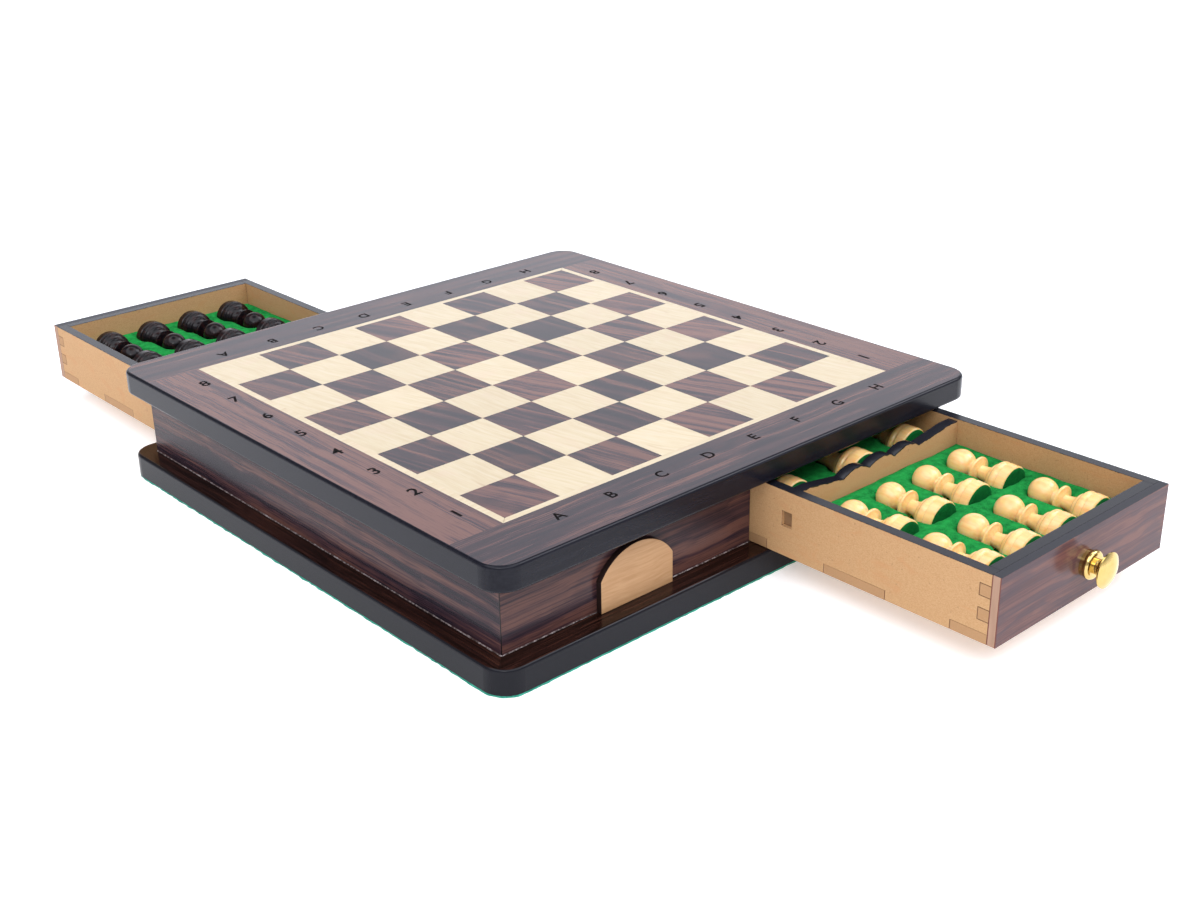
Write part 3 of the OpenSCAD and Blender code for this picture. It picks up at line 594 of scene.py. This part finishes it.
def solids(node):
    """The boxes of a CAD node's separate solids, as (lowest corner, highest corner)."""
    shape = bmesh.new()
    shape.from_mesh(NODES[node].data)
    bmesh.ops.remove_doubles(shape, verts=shape.verts, dist=1e-6)
    boxes, seen = [], set()
    for start in shape.verts:
        if start in seen:
            continue
        seen.add(start)
        reached, heap = [], [start]
        while heap:
            point = heap.pop()
            reached.append(point.co[:])
            for edge in point.link_edges:
                other = edge.other_vert(point)
                if other not in seen:
                    seen.add(other)
                    heap.append(other)
        corners = np.array(reached)
        boxes.append((Vector(corners.min(0)), Vector(corners.max(0))))
    shape.free()
    return boxes


def closed_field(heights, xs, ys, floor):
    """Points and faces of a block with a flat foot, whose top is a grid of heights over xs and ys."""
    wide, deep = len(xs), len(ys)
    points = [(x, y, heights[j, i]) for j, y in enumerate(ys) for i, x in enumerate(xs)]
    faces = [(j * wide + i, j * wide + i + 1, (j + 1) * wide + i + 1, (j + 1) * wide + i)
             for j in range(deep - 1) for i in range(wide - 1)]
    ring = list(range(wide)) + [j * wide + wide - 1 for j in range(1, deep)]
    ring += [(deep - 1) * wide + i for i in range(wide - 2, -1, -1)]
    ring += [j * wide for j in range(deep - 2, 0, -1)]
    foot = len(points)
    points += [(points[k][0], points[k][1], floor) for k in ring]
    count = len(ring)
    faces += [(ring[(k + 1) % count], ring[k], foot + k, foot + (k + 1) % count) for k in range(count)]
    faces.append(tuple(foot + k for k in range(count - 1, -1, -1)))
    return points, faces


def run_of_rings(rings):
    """Points and faces of a closed run from ring to ring, with a cap at each end."""
    count = len(rings[0])
    points = [point for ring in rings for point in ring]
    faces = []
    for start in range(0, len(points) - count, count):
        for k in range(count):
            a, b = start + k, start + (k + 1) % count
            faces.append((a, b, b + count, a + count))
    faces += [tuple(range(count - 1, -1, -1)), tuple(range(len(points) - count, len(points)))]
    return points, faces


def smoothstep(low, high, value):
    t = np.clip((value - low) / (high - low), 0, 1)
    return t * t * (3 - 2 * t)


def noise_grid(xs, ys, scale, seed):
    """Smooth noise from -1 to 1 over a grid, with features of about scale metres."""
    return np.array([[noise.noise(Vector((x / scale, y / scale, seed))) for x in xs] for y in ys])


# ------------------------------------------------------------------ felt trays

GRID = 0.9 * MM
# The felt's mean height over the CAD tray's top, its least height over the floor and its most over that top
PUFF, THINNEST, HIGHEST = 0.5 * MM, 1.0 * MM, 2.4 * MM
# How wide and how high its waves are
ROLLS = (26 * MM, 0.8 * MM)
RIPPLES = (9 * MM, 0.35 * MM)
# How deep it sinks beside a chessman and along the walls, and within what distance of them
DIP, DIP_REACH = 1.5 * MM, 2.4 * MM
CREASE, CREASE_REACH = 1.1 * MM, 1.6 * MM
# The hollow under a chessman: its depth, and how far outside and inside the outline its side begins and ends
HOLLOW, HOLLOW_START, HOLLOW_END = 8.0 * MM, 0.6 * MM, -3.2 * MM
# The outline of a lying chessman: the base's height as a share of its radius, and the slack at its two ends
FOOT_SHARE, FOOT_SLACK, BODY_SLACK = 1.30, 0.6 * MM, 0.2 * MM
# How closely the felt holds base and body, as shares of their radii, how round their corners are, and how softly
# they run into each other
BASE_HOLD, BODY_HOLD = 0.95, 0.93
BASE_CORNER, BODY_CORNER_SHARE = 2 * MM, 0.8
BLEND = 3 * MM
# The felt stays high just before a base: how far off, over what length, how wide in radii, and how much of it
RISE_OFF, RISE_REACH, RISE_WIDTH, RISE_SHARE = 1.5 * MM, 3.2 * MM, 1.15, 0.7
# Seeds of the waves, and what is added for the ripples and for the black side
PAWN_TRAY_SEED, PIECE_TRAY_SEED, RIPPLE_SEED, SIDE_SEED = 11, 31, 7, 5
# What lies in a tray: the node, and the radius of its body as a share of its base's
IN_PAWN_TRAY = (("pawns", 0.73),)
IN_PIECE_TRAY = (("rooks", 0.74), ("knights", 0.95), ("bishops", 0.66), ("queen", 0.70), ("king", 0.72))


def rounded_box(dx, dy, half_x, half_y, radius):
    """Signed distance to a box with round corners."""
    qx, qy = np.abs(dx) - half_x + radius, np.abs(dy) - half_y + radius
    return np.hypot(np.maximum(qx, 0), np.maximum(qy, 0)) + np.minimum(np.maximum(qx, qy), 0) - radius


def lying_outline(across, along, base_r, body_r, length):
    """Signed distance to the outline of a lying chessman: a wide base that runs into its body."""
    foot = FOOT_SHARE * base_r
    base = rounded_box(across, along - foot / 2 - FOOT_SLACK, base_r * BASE_HOLD, foot / 2 + FOOT_SLACK,
                       BASE_CORNER)
    body = rounded_box(across, along - length / 2, body_r * BODY_HOLD, length / 2 + BODY_SLACK,
                       body_r * BODY_CORNER_SHARE)
    share = np.clip(0.5 + 0.5 * (base - body) / BLEND, 0, 1)
    return base * (1 - share) + body * share - BLEND * share * (1 - share)


def before_base(across, along, base_r):
    """1 on the felt just before a lying chessman's base, which stays high there, and 0 further off."""
    near = np.exp(-((along + RISE_OFF) / RISE_REACH) ** 2)
    return near * np.exp(-(across / (RISE_WIDTH * base_r)) ** 4)


def tray(side, name, contents, seed):
    """A pillowy felt bed that rises round the pieces lying in it."""
    low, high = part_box(f"{side}_{name}")
    heads = HEADS[side]
    xs = np.linspace(low.x, high.x, round((high.x - low.x) / GRID) + 1)
    ys = np.linspace(low.y, high.y, round((high.y - low.y) / GRID) + 1)
    px, py = np.meshgrid(xs, ys)
    gap = np.full(px.shape, 1.0)
    before = np.zeros(px.shape)
    for node, body_share in contents:
        for box_low, box_high in solids(f"{side}_{node}"):
            across = px - (box_low.x + box_high.x) / 2
            along = (py - (box_low.y if heads > 0 else box_high.y)) * heads
            base_r, length = (box_high.x - box_low.x) / 2, box_high.y - box_low.y
            gap = np.minimum(gap, lying_outline(across, along, base_r, body_share * base_r, length))
            before = np.maximum(before, before_base(across, along, base_r))
    wall = np.minimum.reduce([px - low.x, high.x - px, py - low.y, high.y - py])
    heights = high.z + PUFF + ROLLS[1] * noise_grid(xs, ys, ROLLS[0], seed)
    heights += RIPPLES[1] * noise_grid(xs, ys, RIPPLES[0], seed + RIPPLE_SEED)
    heights -= DIP * (1 - RISE_SHARE * before) * np.exp(-(np.maximum(gap, 0) / DIP_REACH) ** 2)
    heights -= HOLLOW * smoothstep(HOLLOW_START, HOLLOW_END, gap)
    heights -= CREASE * np.exp(-(wall / CREASE_REACH) ** 1.5)
    heights = np.clip(heights, low.z + THINNEST, high.z + HIGHEST)
    points, faces = closed_field(heights, xs, ys, low.z)
    made = piece(f"{side}_{name}_felt", points, faces, GREEN)
    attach(made, f"{side}_drawer")
    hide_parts(f"{side}_{name}")


DISC_THICK = 0.8 * MM
DISC_SPOKES = 40
# The crown of a disc, from near its middle to its back edge: share of its radius, share of its thickness
DISC_RINGS = ((0.45, 1.0), (0.8, 0.95), (0.95, 0.75), (1.0, 0.35), (0.995, 0.0))
# How far its edge wanders, as a share of its radius, and how often round it
DISC_FUZZ, DISC_WAVES = 0.012, 6


def felt_discs(side):
    """A slightly crowned felt disc on the base of every piece, in a darker felt that paints shade on it."""
    points, faces = [], []
    heads, spokes, rows = HEADS[side], DISC_SPOKES, len(DISC_RINGS)
    pawn_width = min(high.x - low.x for low, high in solids(f"{side}_base_felts"))
    for index, (low, high) in enumerate(solids(f"{side}_base_felts")):
        centre, radius = (low + high) / 2, (high.x - low.x) / 2
        tilt = PAWN_TILT if high.x - low.x < pawn_width + MM else PIECE_TILT
        axis = Vector((0, -heads * math.cos(tilt), -math.sin(tilt)))
        across, up = Vector((1, 0, 0)), axis.cross(Vector((1, 0, 0)))
        inner = centre - axis * DISC_THICK / 2
        start = len(points)
        for share, lift in DISC_RINGS:
            for spoke in range(spokes):
                angle = 2 * math.pi * spoke / spokes
                ray = across * math.cos(angle) + up * math.sin(angle)
                fuzz = 1 + DISC_FUZZ * noise.noise(ray * DISC_WAVES + Vector((0, 0, index)))
                points.append(inner + ray * radius * share * fuzz + axis * DISC_THICK * lift)
        points += [inner + axis * DISC_THICK, inner]
        for row in range(rows - 1):
            for spoke in range(spokes):
                a, b = start + row * spokes + spoke, start + row * spokes + (spoke + 1) % spokes
                faces.append((a, a + spokes, b + spokes, b))
        for spoke in range(spokes):
            after = (spoke + 1) % spokes
            faces.append((start + rows * spokes, start + spoke, start + after))
            faces.append((start + rows * spokes + 1, start + (rows - 1) * spokes + after,
                          start + (rows - 1) * spokes + spoke))
    made = piece(f"{side}_felt_discs", points, faces, SHADED_DISC_GREEN)
    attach(made, f"{side}_drawer")
    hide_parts(f"{side}_base_felts")


def outline(half_x, half_y, radius, spacing):
    """Points and outward ways counterclockwise round a rectangle with round corners, about spacing apart."""
    made = []
    for quarter in range(4):
        turn = quarter * math.pi / 2
        sx, sy = (1, 1, -1, -1)[quarter], (-1, 1, 1, -1)[quarter]
        centre = Vector((sx * (half_x - radius), sy * (half_y - radius)))
        bends = max(4, round(radius * math.pi / 2 / spacing))
        for k in range(bends + 1):
            angle = turn - math.pi / 2 + math.pi / 2 * k / bends
            way = Vector((math.cos(angle), math.sin(angle)))
            made.append((centre + way * radius, way))
    filled = []
    for (a, way_a), (b, way_b) in zip(made, made[1:] + made[:1]):
        steps = max(1, round((b - a).length / spacing))
        for k in range(steps):
            filled.append((a.lerp(b, k / steps), way_a.lerp(way_b, k / steps).normalized()))
    return filled


# The base's felt: the radius of its corners, how far apart the points of its edge are, how far that edge
# stands out on average and how much it wanders
SHEET_CORNER = 11.4 * MM
SHEET_SPACING = 1.5 * MM
SHEET_OUT, SHEET_ROUGH = 0.25 * MM, 0.55 * MM
SHEET_WAVES, SHEET_WAVES_UP = 260, 900  # in a metre along the edge, and in a metre up


def base_sheet():
    """The thin felt glued under the base, with a roughly cut edge."""
    low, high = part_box("base_felt")
    rings = []
    for level in (low.z, (low.z + high.z) / 2, high.z):
        ring = []
        for at, way in outline(high.x, high.y, SHEET_CORNER, SHEET_SPACING):
            rough = noise.noise(Vector((*(at * SHEET_WAVES), level * SHEET_WAVES_UP)))
            edge = at + way * (SHEET_OUT + SHEET_ROUGH * rough)
            ring.append((edge.x, edge.y, level))
        rings.append(ring)
    points, faces = run_of_rings(rings)
    made = piece("base_felt_sheet", points, faces, BASE_GREEN, smooth=False)
    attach(made, "case")
    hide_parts("base_felt")


# ------------------------------------------------------------------ lettering, glue and paint

# Of a sign, as shares of its type size
SIGN_THICKNESS = 0.004
SIGN_BOLDNESS = 0.018

# The bead of glue: how far apart its sections are, and its mean thickness and how much that wanders
BEAD_SPACING = 1.2 * MM
BEAD_THICK, BEAD_ROUGH = 0.42 * MM, 0.22 * MM
BEAD_WAVES = 300  # in a metre
# Section of the bead, as shares of its thickness: out from the wall and up from the base
BEAD_SHAPE = ((-0.1, 1.0), (0.45, 0.45), (1.0, -0.05), (-0.1, -0.05))

# The runs of paint on the divider: how far apart their sections are, and in mm their mean, their spread and
# the least they run down
RUN_SPACING = 0.45 * MM
RUN_MEAN, RUN_SPREAD, RUN_LEAST = 0.35, 0.5, 0.05
QUICK_WAVES, SLOW_WAVES = 420, 130  # in a metre
# How far below the rim the divider's outline is still its painted top
SCALLOP_DEPTH = 6 * MM


def sign_mesh(sign):
    """A plain letter or digit as a thin mesh, centred on the origin, at its height on the board."""
    curve = bpy.data.curves.new("sign", "FONT")
    curve.body, curve.size, curve.resolution_u = sign, 1.0, 6
    curve.extrude, curve.offset = SIGN_THICKNESS, SIGN_BOLDNESS
    text = bpy.data.objects.new("sign", curve)
    bpy.context.scene.collection.objects.link(text)
    bpy.context.view_layer.update()
    mesh = bpy.data.meshes.new_from_object(text.evaluated_get(bpy.context.evaluated_depsgraph_get()))
    bpy.data.objects.remove(text)
    bpy.data.curves.remove(curve)
    corners = np.array([v.co for v in mesh.vertices])
    low, high = corners.min(0), corners.max(0)
    size = (DIGIT_HEIGHT if sign.isdigit() else LETTER_HEIGHT) / (high[1] - low[1])
    centre = Matrix.Translation((-(low[0] + high[0]) / 2, -(low[1] + high[1]) / 2, 0))
    mesh.transform(Matrix.Scale(size, 4) @ centre)
    return mesh


def lettering():
    """Plain engraved coordinates: letters along both ends and numbers along both sides, for each player."""
    shape = bmesh.new()
    spots = []
    for k, letter in enumerate("ABCDEFGH"):
        along = (k - 3.5) * LETTER_PITCH
        spots += [(letter, along, -END_MIDDLE, 0), (letter, along, END_MIDDLE, math.pi)]
        spots += [(str(k + 1), -SIDE_MIDDLE, along, 0), (str(k + 1), SIDE_MIDDLE, along, math.pi)]
    for sign, x, y, turn in spots:
        mesh = sign_mesh(sign)
        mesh.transform(Matrix.Translation((x, y, TOP)) @ Matrix.Rotation(turn, 4, "Z"))
        shape.from_mesh(mesh)
        bpy.data.meshes.remove(mesh)
    mesh = bpy.data.meshes.new("coordinates")
    shape.to_mesh(mesh)
    shape.free()
    mesh.materials.append(ENGRAVED)
    made = bpy.data.objects.new("coordinates", mesh)
    bpy.context.scene.collection.objects.link(made)
    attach(made, "case")


def glue_bead():
    """The thin uneven bead of glue where the case's walls stand on the base."""
    half_x, half_y = CASE_HIGH.x, CASE_HIGH.y
    gap_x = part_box("centre_partition")[1].x
    runs = {
        "front": [(gap_x, -half_y), (-half_x, -half_y), (-half_x, half_y)],
        "rear": [(-gap_x, half_y), (half_x, half_y), (half_x, -half_y)],
    }
    for name, corners in runs.items():
        path = []
        for start, end in zip(corners, corners[1:]):
            a, b = Vector(start), Vector(end)
            steps = round((b - a).length / BEAD_SPACING)
            path += [(a.lerp(b, k / steps), (b - a).normalized()) for k in range(steps)]
        path.append((b, (b - a).normalized()))
        rings = []
        for at, way in path:
            out = Vector((way.y, -way.x))
            if out.dot(at) < 0:
                out = -out
            thick = BEAD_THICK + BEAD_ROUGH * noise.noise(Vector((*(at * BEAD_WAVES), 0)))
            rings.append([(*(at + out * reach * thick), BASE_TOP + rise * thick)
                          for reach, rise in BEAD_SHAPE])
        points, faces = run_of_rings(rings)
        made = piece(f"{name}_glue_bead", points, faces, glue())
        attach(made, "case")


def paint_runs(side):
    """Black paint from the divider's top that ran over its front edge, as a thin ragged skin."""
    node = NODES[f"{side}_drawer_divider"]
    low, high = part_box(node.name)
    heads = HEADS[side]
    front_y = low.y if heads > 0 else high.y
    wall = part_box(f"{side}_pawn_tray")
    scallops = sorted({(round(v.co.x, 6), round(v.co.z, 6)) for v in node.data.vertices
                       if abs(v.co.y - front_y) < 0.01 * MM and v.co.z > RIM - SCALLOP_DEPTH})
    spots = np.arange(wall[0].x, wall[1].x, RUN_SPACING)
    tops = np.interp(spots, [x for x, _ in scallops], [z for _, z in scallops])
    rings = []
    for x, z in zip(spots, tops):
        quick = noise.noise(Vector((x * QUICK_WAVES, 0, heads)))
        slow = noise.noise(Vector((x * SLOW_WAVES, 3, heads)))
        run = max(RUN_MEAN + RUN_SPREAD * quick + RUN_SPREAD * slow, RUN_LEAST)
        skin = ((-0.05, 0.05), (0.04, 0.02), (0.04, -run), (-0.05, -run))
        rings.append([(x, front_y - heads * out * MM, z + up * MM) for out, up in skin])
    points, faces = run_of_rings(rings)
    made = piece(f"{side}_paint_runs", points, faces, BLACK_PAINT, smooth=False)
    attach(made, f"{side}_drawer")


# ------------------------------------------------------------------ floor, light and camera

FLOOR_REACH = 60
SOFTBOX_AT = (-1.15, -1.05, 1.20)
SOFTBOX_WIDTH = 0.5
SOFTBOX_WATTS = 3.2


def patch(graph, way, toward, edge, full, bright=1.0):
    """Light from a round patch of sky about toward, fading where the cosine falls from full to edge."""
    return graph.step(graph.vector("DOT_PRODUCT", way, toward), edge, full, bright)


def sky():
    """Room light: a ring of ceiling, a backdrop behind, a small window, the horizon, and two pale walls."""
    world = bpy.data.worlds.new("studio")
    bpy.context.scene.world = world
    world.use_nodes = True
    graph = Graph(world.node_tree)
    way = graph.add("ShaderNodeTexCoord").outputs["Generated"]
    height = graph.parts(way)[2]
    ceiling = patch(graph, way, (-0.12, -0.24, 0.96), 0.68, 0.78, 2.85)
    # Right overhead the ceiling is dark again
    hole = graph.step(height, 0.93, 0.98, -2.5)
    overhead = graph.math("MAXIMUM", graph.math("ADD", ceiling, hole), 0.0)
    backdrop = patch(graph, way, (0.655, 0.745, 0.13), 0.70, 0.90)
    backdrop = graph.math("MULTIPLY", backdrop, graph.math("MULTIPLY_ADD", height, -1.0, 1.4))
    window = patch(graph, way, (0.70, -0.30, 0.65), 0.965, 0.98, 5.5)
    horizon = graph.step(graph.math("ABSOLUTE", height), 0.22, 0.04, 0.8)
    left = patch(graph, way, (-0.965, 0.155, 0.21), 0.30, 0.80, 0.54)
    front = patch(graph, way, (0.60, -0.77, 0.21), 0.30, 0.80, 0.42)
    light = graph.math("ADD", overhead, backdrop)
    for part in (window, horizon, left, front):
        light = graph.math("ADD", light, part)
    back = world.node_tree.nodes["Background"]
    back.inputs[0].default_value = (0.955, 0.98, 1.06, 1)
    graph.feed(back.inputs[1], graph.math("ADD", light, 0.10))


def stage():
    """A pale light table that runs out of view, and a softbox high behind the camera."""
    far = FLOOR_REACH
    floor = piece("floor", [(-far, -far, 0), (far, -far, 0), (far, far, 0), (-far, far, 0)], [(0, 1, 2, 3)],
                  plain("pale_floor", (0.82, 0.82, 0.82), (0.84, 0.84, 0.84), 3, 0.8,
                        Emission_Color=(1, 1, 1, 1), Emission_Strength=0.40))
    lamp = bpy.data.lights.new("softbox", "AREA")
    lamp.size, lamp.energy = SOFTBOX_WIDTH, SOFTBOX_WATTS
    made = bpy.data.objects.new("softbox", lamp)
    made.location = SOFTBOX_AT
    made.rotation_euler = (-made.location).to_track_quat("-Z", "Y").to_euler()
    bpy.context.scene.collection.objects.link(made)
    bpy.context.scene.view_settings.view_transform = "Standard"


def camera():
    """A camera to the left of the white player, looking down across the board at the open drawer."""
    data = bpy.data.cameras.new("camera")
    data.sensor_width, data.lens = 36, CAMERA_LENS
    made = bpy.data.objects.new("camera", data)
    made.location = CAMERA_AT
    made.rotation_euler = Euler(CAMERA_TURN)
    bpy.context.scene.collection.objects.link(made)
    bpy.context.scene.camera = made


camera()
sky()
stage()
finish_nodes()
for number, side in enumerate(SIDES):
    tray(side, "pawn_tray", IN_PAWN_TRAY, PAWN_TRAY_SEED + SIDE_SEED * number)
    tray(side, "piece_tray", IN_PIECE_TRAY, PIECE_TRAY_SEED + SIDE_SEED * number)
    felt_discs(side)
    paint_runs(side)
base_sheet()
lettering()
glue_bead()
